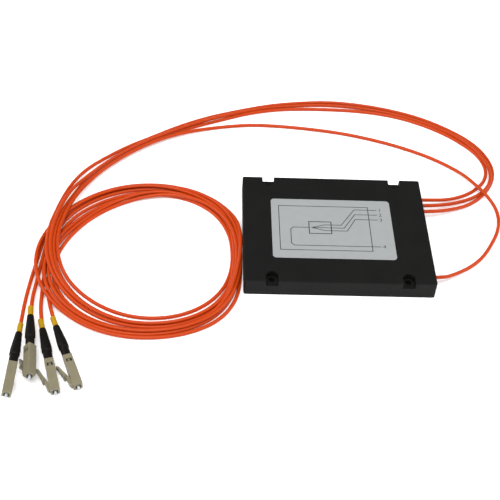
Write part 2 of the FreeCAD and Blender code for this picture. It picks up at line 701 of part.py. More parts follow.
def make_rear_body(name, place):
    """Fixed core: its front guides the spring, its catches hold in the windows, its barrel is crimped."""
    front = "(-@nose_bore_length - @flange_thick - @spring_length)"
    step = front + " - @body_bore_length"
    snug = "@chamber_radius - @fit_gap / 2"
    outline = [
        (front, "@body_bore"), (front, snug), ("-@window_near + 0.3", snug),
        ("-@window_near + 0.3", "@catch_groove"), ("-@window_far - 0.3", "@catch_groove"),
        ("-@window_far - 0.3", snug), ("-@housing_length", snug),
        ("-@housing_length", "@barrel_radius"), ("-@barrel_end", "@barrel_radius"),
        ("-@barrel_end", "@fibre_bore"), (step, "@fibre_bore"), (step, "@body_bore")]
    body = turned("rear_body_" + name, outline)
    catches = new_sketch(body, "Catches", "XZ_Plane")
    rectangle(
        catches, "-@window_far + @fit_gap", "-@window_near - @fit_gap",
        "-@catch_half", "@catch_half")
    pad(body, catches, "@housing_side - 2 * @catch_sink", midplane=True)
    passage = new_sketch(body, "Passage", "YZ_Plane", front)
    circle(passage, "0", "0", "@fibre_bore")
    pocket(body, passage, "@barrel_end")
    body.Placement = place
    NODES.append(body)


def make_crimp_ring(name, place):
    wide = "@barrel_radius + @fit_gap / 2"
    narrow = "@cord_radius + @fit_gap / 2"
    outer = "@barrel_radius + @fit_gap / 2 + @crimp_wall"
    lip = "-@barrel_end - @crimp_lip"
    outline = [
        ("-@crimp_end", narrow), (lip, narrow), (lip, wide), ("-@housing_length - 1", wide),
        ("-@housing_length - 1", outer), ("-@crimp_end", outer)]
    NODES.append(turned("crimp_ring_" + name, outline, place))


def make_boot(name, place):
    """Soft tapered boot: neck beside the housing, a step, then a long taper to the cord."""
    narrow = "@cord_radius + @fit_gap"
    wide = "@barrel_radius + @crimp_wall + @fit_gap"
    outline = [
        ("-@boot_end", narrow), ("-@crimp_end", narrow), ("-@crimp_end", wide),
        ("-@housing_length", wide), ("-@housing_length", "@boot_neck_radius"),
        ("-@boot_step + 0.3", "@boot_neck_radius"), ("-@boot_step - 0.3", "@boot_wide_radius"),
        ("-@boot_step - 3.5", "@boot_wide_radius"), ("-@boot_end + 0.4", "@boot_tail_radius"),
        ("-@boot_end", "@boot_tail_radius - 0.25")]
    NODES.append(turned("boot_" + name, outline, place))


def make_sleeve(name, place):
    inner = "@cord_radius + @fit_gap / 2"
    outer = inner + " + @sleeve_wall"
    outline = ring_outline("-@boot_end", "-@boot_end - @sleeve_length", inner, outer)
    NODES.append(turned("sleeve_" + name, outline, place))


def make_plug(name):
    place = plug_place(name)
    make_housing(name, place)
    make_latch(name, place)
    make_ferrule(name, place)
    make_spring(name, place)
    make_rear_body(name, place)
    make_crimp_ring(name, place)
    make_boot(name, place)
    make_sleeve(name, place)


make_cover()
make_base()
make_label()
make_coupler()
for cord_name in CORDS:
    make_anchor(cord_name)
make_buffers()
make_sweeps()
make_coil()
make_tails()
for plug_name in PLUGS:
    make_plug(plug_name)

doc.recompute()

faults = [item.Name for item in doc.Objects if "Invalid" in item.State or "Error" in item.State]
for node in NODES:
    if node.Shape.isNull() or not node.Shape.isValid() or len(node.Shape.Solids) != 1:
        faults.append(node.Label)
if faults:
    raise ValueError("failed: " + ", ".join(faults))

os.makedirs("parts", exist_ok=True)
for node in NODES:
    node.Shape.exportStep("parts/%s.step" % node.Label)
    box = node.Shape.BoundBox
    print("%-22s volume %9.2f  z %.2f to %.2f" % (node.Label, node.Shape.Volume, box.ZMin, box.ZMax))
print(len(NODES), "nodes")
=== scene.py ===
# Fibre optic splitter: its looks, in metres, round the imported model. The box lies on the
# floor, its four cords run round behind it into a coil and end in small latched plugs.

import json
import math

import bmesh
import bpy
import numpy as np
from mathutils import Matrix, Vector


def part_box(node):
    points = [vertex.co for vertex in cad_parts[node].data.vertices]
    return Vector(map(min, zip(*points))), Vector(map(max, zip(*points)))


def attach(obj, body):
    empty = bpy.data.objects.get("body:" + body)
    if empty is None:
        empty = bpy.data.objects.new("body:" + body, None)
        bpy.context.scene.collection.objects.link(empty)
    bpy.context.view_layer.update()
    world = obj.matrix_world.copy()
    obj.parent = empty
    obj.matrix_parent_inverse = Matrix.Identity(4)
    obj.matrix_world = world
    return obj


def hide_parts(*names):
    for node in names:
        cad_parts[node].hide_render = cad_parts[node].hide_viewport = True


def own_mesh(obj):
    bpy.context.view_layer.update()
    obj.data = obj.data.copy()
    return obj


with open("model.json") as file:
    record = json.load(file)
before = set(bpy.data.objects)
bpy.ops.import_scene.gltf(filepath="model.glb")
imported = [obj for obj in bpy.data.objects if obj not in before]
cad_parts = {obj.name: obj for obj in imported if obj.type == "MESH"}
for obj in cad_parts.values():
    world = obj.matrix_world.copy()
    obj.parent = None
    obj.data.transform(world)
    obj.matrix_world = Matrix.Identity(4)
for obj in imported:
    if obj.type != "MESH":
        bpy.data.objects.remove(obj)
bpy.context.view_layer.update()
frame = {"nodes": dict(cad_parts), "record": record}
nodes = frame["nodes"]
scene = bpy.context.scene

CORDS = ("input", "output_1", "output_2", "output_3")
MM = 0.001


# Camera: the photograph's, solved from the corners and notches of the box

PICTURE = 500  # the photograph's width and height in pixels
SENSOR = 36  # lens and sensor in millimetres
LENS = 76.62
CAMERA_PLACE = (-0.07136, -0.40833, 0.40932)
CAMERA_TURN = (-3.625, 45.591, 3.902)  # degrees to the left, down and over to one side
CLIP_START, CLIP_END = 0.05, 20


def camera_axes():
    """To the right, up and ahead, as the camera sees them."""
    yaw, pitch, roll = [math.radians(turn) for turn in CAMERA_TURN]
    ahead = Vector((
        -math.sin(yaw) * math.cos(pitch), math.cos(yaw) * math.cos(pitch), -math.sin(pitch)))
    level = Vector((math.cos(yaw), math.sin(yaw), 0))
    upward = level.cross(ahead)
    right = math.cos(roll) * level + math.sin(roll) * upward
    up = -math.sin(roll) * level + math.cos(roll) * upward
    return right, up, ahead


def place_camera():
    right, up, ahead = camera_axes()
    data = bpy.data.cameras.new("camera")
    data.sensor_width = SENSOR
    data.lens = LENS
    data.clip_start = CLIP_START
    data.clip_end = CLIP_END
    camera = bpy.data.objects.new("camera", data)
    turn = Matrix((right, up, -ahead)).transposed().to_4x4()
    camera.matrix_world = Matrix.Translation(CAMERA_PLACE) @ turn
    scene.collection.objects.link(camera)
    scene.camera = camera


def behind_pixel(across, down, height):
    """The place at that height in millimetres which the photograph shows at that pixel."""
    right, up, ahead = [np.array(axis) for axis in camera_axes()]
    ray = LENS / SENSOR * PICTURE * ahead
    ray += (across - PICTURE / 2) * right + (PICTURE / 2 - down) * up
    start = np.array(CAMERA_PLACE)
    return start + ray * (height * MM - start[2]) / ray[2]


place_camera()


# Cords: where they run

CORD_RADIUS = 0.001
CORD_LEVEL = 0.005  # height at which the cords leave the box
CORD_START = 0.044  # inside the anchor behind the wall
WALL = 0.05  # outside of the wall that they leave, and of the one beside the coil
FIRST_BEND = 0.055
# Along Y, where each leaves the wall
ROWS = {"input": -0.0302, "output_1": 0.0294, "output_2": 0.0246, "output_3": 0.0198}

# From the first bend round behind the box to the coil, as read in the photograph: pixels across
# and down, and the height of the cord's middle line in millimetres
SWEEPS = {
    "input": [
        (455, 274.3, 3.2), (470, 267.2, 1.7), (482, 257.3, 1), (491.2, 245, 1), (497, 231.5, 1),
        (498, 218.5, 1.1), (494, 206.5, 2.2), (485.5, 194.3, 4.6), (475, 184, 3.8), (460, 173, 1.6),
        (432, 158.8, 1), (400, 147.3, 1), (370, 139.3, 1), (340, 133.6, 1), (310, 129.4, 1),
        (280, 126.4, 1), (250, 125.3, 1), (220, 127.5, 1), (193, 131, 1.8), (165, 137.6, 2.7),
        (138, 148.8, 2.7), (117, 160.5, 2.7), (101.5, 171.2, 2.7), (89.5, 181.3, 3.1),
        (78.3, 192.8, 4.4), (67.2, 207.8, 6.1)],
    "output_1": [
        (450, 199.5, 2.4), (470, 193, 1.2), (483, 182, 1), (484.7, 168.5, 1), (475, 154, 1),
        (455, 140, 1), (430, 128, 1), (400, 118.5, 1), (370, 112.9, 1), (340, 110.1, 1),
        (310, 109.3, 1), (280, 109.6, 1), (250, 113.3, 1), (220, 120.4, 1), (190, 128.2, 1),
        (160, 137.6, 1), (135, 148, 1), (114, 159.3, 1), (98.5, 169.6, 1), (86.2, 180.2, 1.5),
        (74.7, 192.2, 3.2), (64.8, 208, 4.9)],
    "output_2": [
        (452, 204, 2.4), (473, 198, 1.8), (487, 187.5, 2.6), (490, 174.5, 2.7), (484, 160, 2.7),
        (467, 143.3, 2.6), (440, 129.2, 1.6), (410, 118.7, 1), (380, 111.5, 1), (350, 107.2, 1),
        (320, 105.3, 1), (290, 106.3, 1), (262, 109, 1.4), (230, 114.2, 2.7), (200, 121.9, 2.8),
        (170, 132.2, 2.8), (142, 143.2, 2.8), (119, 154.7, 2.8), (100, 166.6, 2.8),
        (84.5, 179, 3.1), (71.4, 191.7, 4.4), (62, 206.5, 6.1)],
    "output_3": [
        (453, 209.3, 2.4), (472, 203, 1.2), (487, 190, 1), (492.3, 175.5, 1), (487.6, 160.6, 1),
        (473, 145.2, 1), (450, 131.4, 1), (420, 119, 1), (390, 110.7, 1), (360, 105.5, 1),
        (330, 102.9, 1), (300, 103.3, 1), (270, 105.9, 1), (240, 110.9, 1), (210, 117.4, 1),
        (180, 126.6, 1), (150, 138.4, 1), (128, 147.1, 1), (107, 157.2, 1), (89.5, 168, 1),
        (77, 178.8, 1.8), (67.2, 191, 3.3), (59.2, 207, 4.9)],
}
READ_STEPS = 2000  # to the metre: nothing finer than half a millimetre can be read
CORNER_SHARE = 0.25  # a spline cuts off this share of a corner, so its points lie further out

# From the coil to the straight stretch behind each plug
TAILS = {
    "input": [(-0.1569, -0.0195, 0.001), (-0.1596, -0.0356, 0.0016), (-0.1603, -0.0515, 0.003)],
    "output_1": [(-0.1546, -0.0188, 0.001), (-0.1564, -0.037, 0.0019)],
    "output_2": [(-0.1527, -0.024, 0.001), (-0.1529, -0.0425, 0.0016)],
    "output_3": [(-0.1504, -0.0265, 0.001), (-0.15, -0.043, 0.0016)],
}
# Each plug's front face, heading and nose-up in degrees
PLUGS = {
    "input": ((-0.1601, -0.1128, 0.0082), -90.1, 4.4),
    "output_1": ((-0.1512, -0.1009, 0.0068), -83.1, 3.3),
    "output_2": ((-0.1388, -0.1066, 0.0026), -74.4, 0.0),
    "output_3": ((-0.1284, -0.1034, 0.0026), -68.3, 0.0),
}
# Behind the front face: where a plug's cord starts to run straight, and its end inside the plug
STRAIGHT_START = 0.0475
CORD_STOP = 0.0275

# How far round the coil each cord lies, in degrees, its distance from the coil's middle and
# its height, both in millimetres. The coil turns anticlockwise from its left side.
COIL_MIDDLE = (-0.1, -0.015)
COIL_FIRST = 166
COIL_STEP = 18
COIL_LAST = 886
COIL = {
    "input": [
        (150, 52.8, 6.2), (166, 50.8, 6.1), (184, 47.9, 4.6), (202, 45.3, 1.6), (220, 42.8, 1),
        (238, 42.4, 1), (256, 43, 1), (274, 43.8, 1), (292, 44.9, 1), (310, 45.9, 1),
        (328, 46.2, 1), (346, 45.3, 1), (364, 44.8, 1), (376, 46.4, 1), (390, 48.6, 1),
        (410, 49, 1), (430, 48.7, 1), (445, 48, 1), (460, 47, 1), (475, 46.3, 1),
        (505, 46.2, 1), (520, 47.6, 1), (532, 50.8, 1.4), (541, 53, 2.6), (550, 55.6, 3),
        (560, 57.4, 3), (570, 57.8, 3), (585, 57, 1.6), (600, 56.1, 1), (615, 54.6, 1),
        (630, 53.8, 1), (650, 54.4, 1), (670, 55.9, 1), (680, 55.2, 1), (690, 52.4, 1.2),
        (700, 49.6, 1.8), (710, 47.9, 2.5), (720, 47.6, 2.75), (730, 48.6, 2.4),
        (740, 51.5, 1.6), (750, 54.6, 1), (763, 56, 1), (785, 55.2, 1), (800, 55.2, 1),
        (820, 55.6, 1), (845, 56.1, 1), (855, 56.4, 1), (865, 57, 1), (875, 58, 1),
        (890, 58.2, 1)],
    "output_1": [
        (150, 54.2, 5), (166, 52.2, 4.9), (184, 49.8, 4.2), (202, 47.8, 1.8), (220, 46.3, 1),
        (238, 46.2, 1), (256, 46.8, 1), (274, 47.3, 1), (292, 48.6, 1), (310, 49.9, 1),
        (328, 49.2, 1.2), (346, 46.4, 2.4), (364, 45.8, 2.75), (376, 47.5, 2), (390, 50.4, 1),
        (410, 51, 1), (430, 50.7, 1), (445, 49, 2.8), (460, 46.4, 2.6), (475, 44.3, 1),
        (490, 44, 1), (505, 44.1, 1), (520, 46, 1), (532, 48.2, 1.2), (541, 50.4, 2.4),
        (550, 53.2, 3.2), (560, 55, 3.6), (570, 55.2, 3.4), (590, 54.4, 1.6), (600, 54.2, 1.9),
        (615, 53.4, 2.6), (630, 52.8, 2.75), (650, 53.4, 2.75), (670, 54.9, 2.75),
        (680, 54, 2.8), (690, 51.6, 3.2), (700, 49.6, 3.8), (710, 48.8, 4.3), (720, 48.6, 4.5),
        (730, 48.8, 4), (740, 50.5, 3), (750, 52.6, 2.75), (763, 53.4, 2.75), (785, 53.2, 2.75),
        (800, 53.4, 2.2), (820, 53.8, 1), (845, 54.2, 1), (855, 54.5, 1), (865, 55, 1),
        (875, 56, 1), (890, 56.4, 1)],
    "output_2": [
        (150, 55.6, 6.2), (166, 53.6, 6.2), (184, 51.6, 5.4), (202, 49.4, 3), (220, 47.9, 2.7),
        (238, 47.6, 2.7), (256, 48, 2.7), (274, 48.4, 2.7), (292, 49.8, 2.7), (310, 50.9, 2.7),
        (328, 50, 2.9), (346, 47.2, 4), (364, 46.7, 4.5), (376, 48.4, 3.6), (390, 50, 2.75),
        (410, 50, 2.75), (430, 49.2, 3), (445, 46.8, 3.2), (460, 43.8, 2), (475, 42.5, 1),
        (490, 42.2, 1), (505, 42.5, 1), (520, 43.8, 1), (532, 45.6, 1), (541, 47.6, 1.4),
        (550, 50.4, 2.6), (560, 52.6, 3), (570, 53, 2.8), (590, 52.6, 1), (600, 52.4, 1),
        (615, 51.9, 1), (630, 51.6, 1), (650, 52.4, 1), (670, 53.9, 1), (680, 52.8, 1.6),
        (690, 50.6, 3.5), (700, 48.8, 5.2), (710, 47.8, 6), (720, 47.6, 6.2), (730, 48.2, 5),
        (740, 50.6, 3), (750, 53, 1.6), (763, 54.2, 1), (785, 53.6, 1), (800, 52.6, 1),
        (820, 52.1, 1), (845, 52.2, 1), (855, 52.7, 1), (868, 53.5, 1), (890, 54, 1)],
    "output_3": [
        (150, 57.2, 5), (166, 55.3, 5), (184, 53.3, 4.8), (202, 50.8, 2.8), (220, 49.2, 1),
        (238, 48.9, 1), (256, 49.2, 1), (274, 49.6, 1), (292, 50.9, 1), (310, 51.9, 1),
        (328, 51, 1), (346, 47.4, 1), (364, 46.7, 1), (376, 48.6, 1.4), (390, 51.6, 2.6),
        (410, 52, 2.75), (430, 52, 2.8), (445, 53.2, 2.8), (460, 53.4, 2.75), (475, 53.6, 2.75),
        (505, 54.6, 2.75), (520, 57.2, 2.8), (532, 58.8, 3), (541, 59, 3), (550, 59.4, 3),
        (575, 59.4, 3), (590, 58.5, 1.6), (600, 57.8, 1), (615, 56.6, 1), (630, 55.9, 1),
        (650, 56.8, 1), (664, 58.4, 1), (675, 59, 1), (684, 58, 1), (692, 55.4, 1),
        (700, 51.4, 1), (710, 49.3, 1), (720, 48.6, 1), (730, 49.3, 1), (740, 50.8, 1),
        (750, 52.2, 1), (763, 52.4, 1), (785, 51.6, 1), (800, 49.7, 1), (820, 48.5, 1),
        (845, 48.4, 1), (855, 49, 1), (868, 50.2, 1), (890, 51.6, 1)],
}
SPLINE_SHARE = 0.988  # how much of its points' distance from the middle a spline keeps
HALF_FREE = 0.5  # points at either end of the coil settle half as freely


def plug_axis_point(name, behind):
    """A point on a plug's axis, that far behind its front face."""
    front, heading, nose_up = PLUGS[name]
    heading, nose_up = math.radians(heading), math.radians(nose_up)
    along = np.array((
        math.cos(nose_up) * math.cos(heading), math.cos(nose_up) * math.sin(heading),
        math.sin(nose_up)))
    return np.array(front) - along * behind


def coil_points(name, angles, share=1):
    """Places of a cord in the coil, or the points of a spline that keeps a share of their distance."""
    rows = np.array(COIL[name], float)
    reach = np.interp(angles, rows[:, 0], rows[:, 1]) * MM / share
    height = np.interp(angles, rows[:, 0], rows[:, 2]) * MM
    turn = np.radians(angles)
    across = COIL_MIDDLE[0] + reach * np.cos(turn)
    along = COIL_MIDDLE[1] + reach * np.sin(turn)
    return np.column_stack((across, along, height))


def sweep_points(name):
    """A sweep's points, further out than the places read, so that its spline passes through those."""
    bend = (FIRST_BEND, ROWS[name], CORD_LEVEL)
    places = [behind_pixel(*row) for row in SWEEPS[name]]
    read = np.vstack([bend] + places + [coil_points(name, [COIL_FIRST])])
    points = read[1:-1] + CORNER_SHARE * (read[1:-1] - (read[:-2] + read[2:]) / 2)
    points = np.round(points * READ_STEPS) / READ_STEPS
    points[:, 2] = np.array(SWEEPS[name])[:, 2] * MM
    return [(CORD_START, ROWS[name], CORD_LEVEL), bend, *points]


def route(name):
    """All points of a cord, and how freely each may shift while the coil settles."""
    sweep = sweep_points(name)
    turns = coil_points(name, np.arange(COIL_FIRST, COIL_LAST + 1, COIL_STEP), SPLINE_SHARE)
    tail = TAILS[name] + [
        plug_axis_point(name, STRAIGHT_START), plug_axis_point(name, CORD_STOP)]
    freedom = np.zeros(len(sweep) + len(turns) + len(tail))
    freedom[len(sweep) - 2] = HALF_FREE
    freedom[len(sweep) - 1:len(sweep) + len(turns)] = 1
    freedom[len(sweep) + len(turns)] = HALF_FREE
    return np.vstack((sweep, turns, tail)), freedom[:, None]


# Cords: how the strands settle beside and on each other

ROUNDS = 300
WATCH_ROUNDS = 10  # rounds after which the pairs to watch are looked for again
SAMPLES = 4  # places looked at on each span of a cord
COIL_RIGHT = -0.045  # the coil lies left of this
WATCHED = 0.006  # pairs further apart aren't watched
OWN_SPANS = 6  # spans of its own line that a strand never pushes
ALONGSIDE = 0.0032  # two places further apart along the strand don't push
NO_GAP = 0.0000001  # stands for no gap at all, which can't be divided by
PUSHED, PUSHED_BESIDE = 0.8, 0.4  # the shares of its own and its neighbours' pushes that a point takes
STIFFNESS = 0.006
PULL_HOME = (0.03, 0.03, 0.01)  # back to where the points were read, in each direction
FALL = 0.000006  # how far a point sinks in a round
COIL_GAP = 0.0004  # coil to the box's left wall, as in the solids
BOX_REACH_X, BOX_REACH_Y = 0.04, 0.043  # where strands mind that wall


def spline_weights(count):
    """Each place on a cord as a weighted sum of its points."""
    rows = np.zeros(((count - 2) * SAMPLES, count))
    for span in range(count - 2):
        for step in range(SAMPLES):
            t = step / SAMPLES
            rows[span * SAMPLES + step, span:span + 3] = (
                (1 - t) ** 2 / 2, (1 + 2 * t - 2 * t * t) / 2, t * t / 2)
    return rows


def close_pairs(places, owner, number):
    """Places in the coil that lie near a place of another strand."""
    near = np.where(places[:, 0] < COIL_RIGHT)[0]
    apart = np.linalg.norm(places[near][:, None] - places[near][None], axis=2)
    other_cord = owner[near][:, None] != owner[near][None]
    other_turn = np.abs(number[near][:, None] - number[near][None]) > OWN_SPANS * SAMPLES
    found = (apart < WATCHED) & (other_cord | other_turn) & (near[:, None] < near[None])
    first, second = np.where(found)
    return near[first], near[second]


def push_apart(lines, places, first, second):
    """How far each place is pushed aside by the strands that it sinks into."""
    heading = np.vstack([np.gradient(line, axis=0) for line in lines])
    heading /= np.linalg.norm(heading, axis=1)[:, None]
    apart = places[first] - places[second]
    along = (apart * heading[first]).sum(axis=1)
    aside = apart - along[:, None] * heading[first]
    gap = np.linalg.norm(aside, axis=1)
    touch = (gap < 2 * CORD_RADIUS) & (np.abs(along) < ALONGSIDE)
    away = aside[touch] / np.maximum(gap[touch], NO_GAP)[:, None]
    away *= (2 * CORD_RADIUS - gap[touch])[:, None] / 2
    push = np.zeros_like(places)
    hits = np.zeros(len(places))
    np.add.at(push, first[touch], away)
    np.add.at(push, second[touch], -away)
    np.add.at(hits, first[touch], 1)
    np.add.at(hits, second[touch], 1)
    return push / np.sqrt(np.maximum(hits, 1))[:, None]


def hold_off(places, push):
    """Changes pushes that would end in the floor or in the box."""
    low = places[:, 2] + push[:, 2] < CORD_RADIUS
    push[low, 2] = CORD_RADIUS - places[low, 2]
    limit = -WALL - CORD_RADIUS - COIL_GAP
    beside_box = (np.abs(places[:, 1]) < BOX_REACH_Y) & (places[:, 0] < -BOX_REACH_X)
    inside = beside_box & (places[:, 0] + push[:, 0] > limit)
    push[inside, 0] = limit - places[inside, 0]


def shift(points, move, home, free):
    """Moves a cord's points: pushed, held straight by its stiffness, drawn home and down."""
    move = PUSHED * move + PUSHED_BESIDE * np.roll(move, 1, 0) + PUSHED_BESIDE * np.roll(move, -1, 0)
    move[2:-2] -= STIFFNESS * (
        points[:-4] - 4 * points[1:-3] + 6 * points[2:-2] - 4 * points[3:-1] + points[4:])
    move += PULL_HOME * (home - points)
    move[:, 2] -= FALL
    points += move * free
    floor = np.where(free[:, 0] > 0, CORD_RADIUS, -np.inf)
    points[:, 2] = np.maximum(points[:, 2], floor)


def settle(routes, freedom):
    """Pushes the strands apart, in rounds, over the floor and beside the box."""
    weights = [spline_weights(len(points)) for points in routes]
    totals = [table.sum(axis=0)[:, None] for table in weights]
    homes = [points.copy() for points in routes]
    counts = [len(table) for table in weights]
    owner = np.repeat(np.arange(len(routes)), counts)
    number = np.concatenate([np.arange(count) for count in counts])
    for turn in range(ROUNDS):
        lines = [table @ points for table, points in zip(weights, routes)]
        places = np.vstack(lines)
        if turn % WATCH_ROUNDS == 0:
            first, second = close_pairs(places, owner, number)
        push = push_apart(lines, places, first, second)
        hold_off(places, push)
        start = 0
        for points, table, total, home, free in zip(routes, weights, totals, homes, freedom):
            shift(points, table.T @ push[start:start + len(table)] / total, home, free)
            start += len(table)


# Cords: their pieces

# Measured along their routes
CORD_STEPS, CORD_SIDES = 10, 5  # how finely a curve is divided along it and round it


def smooth_curve(name, points, steps):
    """A curve of one open spline with those control points."""
    curve = bpy.data.curves.new(name, "CURVE")
    curve.dimensions = "3D"
    spline = curve.splines.new("NURBS")
    spline.points.add(len(points) - 1)
    for place, point in zip(spline.points, points):
        place.co = (*point, 1)
    spline.order_u = 3
    spline.use_endpoint_u = True
    spline.resolution_u = steps
    curve.use_fill_caps = True
    return curve


def cord_piece(name, points):
    curve = smooth_curve("cord_" + name, points, CORD_STEPS)
    for place in curve.splines[0].points:
        place.radius = CORD_RADIUS
    curve.bevel_depth = 1
    curve.bevel_resolution = CORD_SIDES
    cord = bpy.data.objects.new("fibre_cord_" + name, curve)
    scene.collection.objects.link(cord)
    return cord


def lay_cords():
    laid = [route(name) for name in CORDS]
    routes = [points for points, freedom in laid]
    settle(routes, [freedom for points, freedom in laid])
    cords = {}
    for name, points in zip(CORDS, routes):
        cord = cord_piece(name, points)
        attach(cord, "module")
        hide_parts("cord_%s_sweep" % name, "cord_%s_tail" % name, "cord_coil")
        cords[name] = cord
    return cords


cords = lay_cords()


# Materials

def linear(code):
    """An sRGB hex colour as the linear colour that shaders take."""
    colour = []
    for start in (1, 3, 5):
        part = int(code[start:start + 2], 16) / 255
        colour.append(part / 12.92 if part <= 0.04045 else ((part + 0.055) / 1.055) ** 2.4)
    return colour + [1]


def add_node(material, kind, settings=None, links=None):
    """A shader node with its settings by input or property name, and its links by input."""
    node = material.node_tree.nodes.new(kind)
    for name, value in (settings or {}).items():
        if name in node.inputs.keys():
            node.inputs[name].default_value = value
        else:
            setattr(node, name, value)
    for name, socket in (links or {}).items():
        material.node_tree.links.new(node.inputs[name], socket)
    return node


def new_material(name):
    material = bpy.data.materials.new(name)
    material.use_nodes = True
    material.node_tree.nodes.clear()
    place = add_node(material, "ShaderNodeTexCoord").outputs["Object"]
    return material, place


def blend_of(material, factor, low, high):
    """A colour between two hex colours."""
    ramp = add_node(material, "ShaderNodeValToRGB", links={"Fac": factor})
    ramp.color_ramp.elements[0].color = linear(low)
    ramp.color_ramp.elements[1].color = linear(high)
    return ramp.outputs["Color"]


def spread(material, factor, low, high):
    """A number between low and high."""
    return add_node(
        material, "ShaderNodeMapRange", {"To Min": low, "To Max": high},
        {"Value": factor}).outputs["Result"]


def finish(material, settings, links):
    shader = add_node(material, "ShaderNodeBsdfPrincipled", settings, links)
    add_node(material, "ShaderNodeOutputMaterial", links={"Surface": shader.outputs["BSDF"]})
    return material


def noise(material, place, size, detail, roughness=0.5):
    """Soft blotches of about that size in metres."""
    return add_node(
        material, "ShaderNodeTexNoise",
        {"Scale": 1 / size, "Detail": detail, "Roughness": roughness},
        {"Vector": place}).outputs["Fac"]


def bump(material, height, depth, strength):
    return add_node(
        material, "ShaderNodeBump", {"Distance": depth, "Strength": strength},
        {"Height": height}).outputs["Normal"]


def abs_spark_textured():
    # Injection-moulded ABS from a spark-eroded mould: an even fine grain that breaks up
    # the highlight. The grain of about 0.3 mm is drawn at 0.6 mm so that it shows.
    material, place = new_material("ABS black, moulded with spark-eroded grain")
    grain = noise(material, place, 0.6 * MM, 3)
    cloud = noise(material, place, 12 * MM, 2)
    return finish(
        material, {"IOR": 1.54, "Specular IOR Level": 0.1},
        {"Base Color": blend_of(material, cloud, "#0E0E0E", "#151514"),
         "Roughness": spread(material, grain, 0.48, 0.66),
         "Normal": bump(material, grain, 0.05 * MM, 0.5)})


def polyester_label():
    # Matt silver-grey polyester film, die cut: nearly even, a little uneven from the glue under it
    material, place = new_material("Polyester label film, silver grey")
    glue = noise(material, place, 5 * MM, 2)
    fine = noise(material, place, 0.8 * MM, 2)
    return finish(
        material, {"IOR": 1.5, "Metallic": 0.15},
        {"Base Color": blend_of(material, glue, "#949898", "#9C9F9F"),
         "Roughness": spread(material, fine, 0.38, 0.5),
         "Normal": bump(material, glue, 0.04 * MM, 0.25)})


def printing_ink():
    # Thermal-transfer resin ink: flat black with a slight sheen
    material, place = new_material("Thermal-transfer ink, black")
    fine = noise(material, place, 0.5 * MM, 2)
    return finish(
        material, {"IOR": 1.5},
        {"Base Color": blend_of(material, fine, "#1E1F21", "#2C2D2F"),
         "Roughness": spread(material, fine, 0.5, 0.65)})


def pvc_jacket():
    # Extruded soft PVC: satin, slightly see-through at the skin, with long faint draw marks
    material, place = new_material("PVC cord jacket, extruded, orange")
    draw_marks = noise(material, place, 2.5 * MM, 3)
    skin = noise(material, place, 0.5 * MM, 2)
    return finish(
        material, {"IOR": 1.53, "Specular IOR Level": 0.2},
        {"Base Color": blend_of(material, draw_marks, "#AE3604", "#BA3E06"),
         "Roughness": spread(material, skin, 0.36, 0.5),
         "Normal": bump(material, skin, 0.02 * MM, 0.3)})


def moulded_polyester():
    # Glass-filled PBT, injection moulded: satin beige with faint flow clouds
    material, place = new_material("PBT housing, injection moulded, beige")
    flow = noise(material, place, 3 * MM, 3)
    grain = noise(material, place, 0.4 * MM, 2)
    return finish(
        material, {"IOR": 1.55},
        {"Base Color": blend_of(material, flow, "#6E6852", "#7B745C"),
         "Roughness": spread(material, grain, 0.42, 0.58),
         "Normal": bump(material, grain, 0.02 * MM, 0.3)})


def core_with_painted_shade():
    # Glass-filled PBT, coloured darker and browner than the housing as painted shade for the recesses
    # at the bottom of the windows, where it is seen
    material, place = new_material("PBT core, injection moulded, grey brown with painted shade")
    flow = noise(material, place, 2 * MM, 2)
    return finish(
        material, {"IOR": 1.55},
        {"Base Color": blend_of(material, flow, "#5E594A", "#696454"),
         "Roughness": spread(material, flow, 0.5, 0.62)})


def zirconia():
    # Ground and polished zirconia ceramic: dense white with a clean highlight
    material, place = new_material("Zirconia ceramic, polished white")
    cloud = noise(material, place, 1 * MM, 2)
    return finish(
        material, {"IOR": 2.1, "Specular IOR Level": 0.3},
        {"Base Color": blend_of(material, cloud, "#AEB4BD", "#BCC1C8"),
         "Roughness": spread(material, cloud, 0.12, 0.2)})


def elastomer_boot():
    # Moulded thermoplastic elastomer: soft black with a dull sheen
    material, place = new_material("Elastomer boot, moulded, black")
    cloud = noise(material, place, 4 * MM, 3)
    grain = noise(material, place, 0.5 * MM, 2)
    return finish(
        material, {"IOR": 1.5, "Specular IOR Level": 0.1},
        {"Base Color": blend_of(material, cloud, "#0B0A09", "#110E0C"),
         "Roughness": spread(material, grain, 0.42, 0.6),
         "Normal": bump(material, grain, 0.03 * MM, 0.35)})


def shrunk_sleeve():
    # Shrunk polyolefin tube: satin yellow, a little uneven where it was heated
    material, place = new_material("Polyolefin sleeve, shrunk, yellow")
    heat = noise(material, place, 2 * MM, 2)
    return finish(
        material, {"IOR": 1.5, "Specular IOR Level": 0.25},
        {"Base Color": blend_of(material, heat, "#9E7900", "#AB8500"),
         "Roughness": spread(material, heat, 0.35, 0.5),
         "Normal": bump(material, heat, 0.05 * MM, 0.4)})


def drawn_metal(name, low, high, rough_low, rough_high):
    # Drawn or turned metal: fine rings and marks about the size of the tool's feed
    material, place = new_material(name)
    marks = noise(material, place, 0.3 * MM, 4, 0.6)
    return finish(
        material, {"Metallic": 1.0},
        {"Base Color": blend_of(material, marks, low, high),
         "Roughness": spread(material, marks, rough_low, rough_high),
         "Normal": bump(material, marks, 0.01 * MM, 0.4)})


def foam_pad():
    # Closed-cell foam tape: dark, dull and pitted, with its colour darker at the bottom of each pit as
    # painted shade in the cells
    material, place = new_material("Foam pad, closed cells, dark grey")
    cells = add_node(material, "ShaderNodeTexVoronoi", {"Scale": 1 / (0.5 * MM)}, {"Vector": place})
    height = cells.outputs["Distance"]
    return finish(
        material, {"Roughness": 0.9},
        # the pit height also darkens the colour in the pits: painted shade
        {"Base Color": blend_of(material, height, "#2A2A2A", "#3C3C3B"),
         "Normal": bump(material, height, 0.1 * MM, 0.6)})


